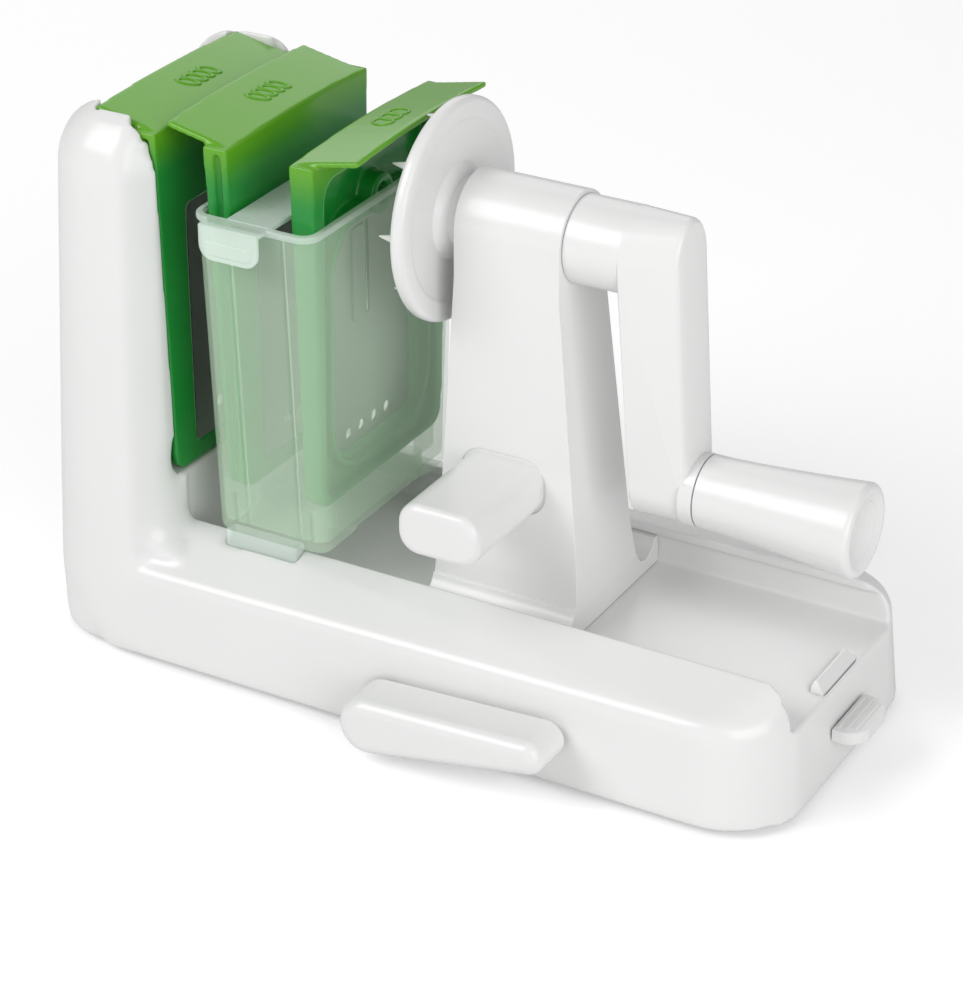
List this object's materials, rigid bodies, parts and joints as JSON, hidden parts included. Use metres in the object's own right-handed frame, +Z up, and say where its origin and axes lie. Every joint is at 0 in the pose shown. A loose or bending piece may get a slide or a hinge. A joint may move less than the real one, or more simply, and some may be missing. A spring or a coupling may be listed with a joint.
{
  "type": "crank spiralizer",
  "caption": "Hand-cranked vegetable spiralizer: blade tower, sliding carriage with spiked holder, crank, suction foot and stored blade cassettes.",
  "frame": {"origin": "middle of the base's length on the table, in the plane of the spindle, on the flat underside of the suction pad", "axes": "+X along the base towards the crank, +Y across it to the side away from the push grip, +Z up"},
  "size_m": [0.3121, 0.1523, 0.218],
  "materials": {
    "white_plastic": "glossy moulded white ABS",
    "bush_plastic": "plain acetal",
    "steel": "turned steel",
    "blade_steel": "stamped stainless steel",
    "soft_rubber": "soft matt rubber",
    "frosted_plastic": "translucent greenish moulded plastic",
    "green_plastic": "glossy moulded green ABS"
  },
  "bodies": {
    "base": {"housing": "white_plastic", "bottom_cover": "white_plastic", "cover_screws": "steel", "rubber_feet": "soft_rubber", "latch_spring": "steel"},
    "suction": {"suction_pad": "soft_rubber", "pull_rod": "steel"},
    "lever": {"lever_shaft": "steel", "lever_cam": "white_plastic", "shaft_ring": "steel", "suction_lever": "white_plastic"},
    "latch": {"stop_latch": "white_plastic"},
    "carriage": {"carriage": "white_plastic", "rear_bush": "bush_plastic", "front_bush": "bush_plastic", "push_grip": "white_plastic", "push_grip_screw": "steel"},
    "crank": {"spindle_shaft": "steel", "food_holder": "white_plastic", "holder_screw": "steel", "crank_collar": "white_plastic", "crank_arm": "white_plastic", "grip_pin": "steel"},
    "grip": {"crank_grip": "white_plastic", "grip_cap": "white_plastic"},
    "container": {"container": "frosted_plastic"},
    "cassette_1": {"cassette_1_frame": "green_plastic", "cassette_1_plate": "blade_steel", "cassette_1_blade": "blade_steel"},
    "cassette_2": {"cassette_2_frame": "green_plastic", "cassette_2_plate": "blade_steel", "cassette_2_blade": "blade_steel"},
    "cassette_3": {"cassette_3_frame": "green_plastic", "cassette_3_plate": "blade_steel", "cassette_3_blade": "blade_steel"}
  },
  "joints": [
    {"name": "carriage_slide", "type": "slide", "parent": "base", "child": "carriage", "axis": [1, 0, 0], "range_m": [0, 0.085]},
    {"name": "crank_turn", "type": "hinge", "parent": "carriage", "child": "crank", "pos_m": [0.0225, 0, 0.178], "axis": [1, 0, 0], "continuous": true},
    {"name": "grip_spin", "type": "hinge", "parent": "crank", "child": "grip", "pos_m": [0.12, 0, 0.0937], "axis": [1, 0, 0], "continuous": true},
    {"name": "lever_turn", "type": "hinge", "parent": "base", "child": "lever", "pos_m": [0.004, -0.03, 0.0185], "axis": [0, -1, 0], "range_deg": [0, 180]},
    {"name": "suction_lift", "type": "slide", "parent": "base", "child": "suction", "axis": [0, 0, 1], "range_m": [0, 0.003]},
    {"name": "latch_press", "type": "slide", "parent": "base", "child": "latch", "axis": [0, 0, -1], "range_m": [0, 0.0037], "stiffness_N_per_m": 400, "springref_m": -0.001, "deforming": ["latch_spring"]},
    {"name": "cassette_1_lift", "type": "slide", "parent": "base", "child": "cassette_1", "axis": [0, 0, 1], "range_m": [0, 0.15]},
    {"name": "container_lift", "type": "slide", "parent": "base", "child": "container", "axis": [0, 0, 1], "range_m": [0, 0.14]},
    {"name": "cassette_2_lift", "type": "slide", "parent": "container", "child": "cassette_2", "axis": [0, 0, 1], "range_m": [0, 0.14]},
    {"name": "cassette_3_lift", "type": "slide", "parent": "container", "child": "cassette_3", "axis": [0, 0, 1], "range_m": [0, 0.14]}
  ],
  "couplings": [
    {"joint": "suction_lift", "follows": "lever_turn", "m_per_rad": 0.000954}
  ]
}
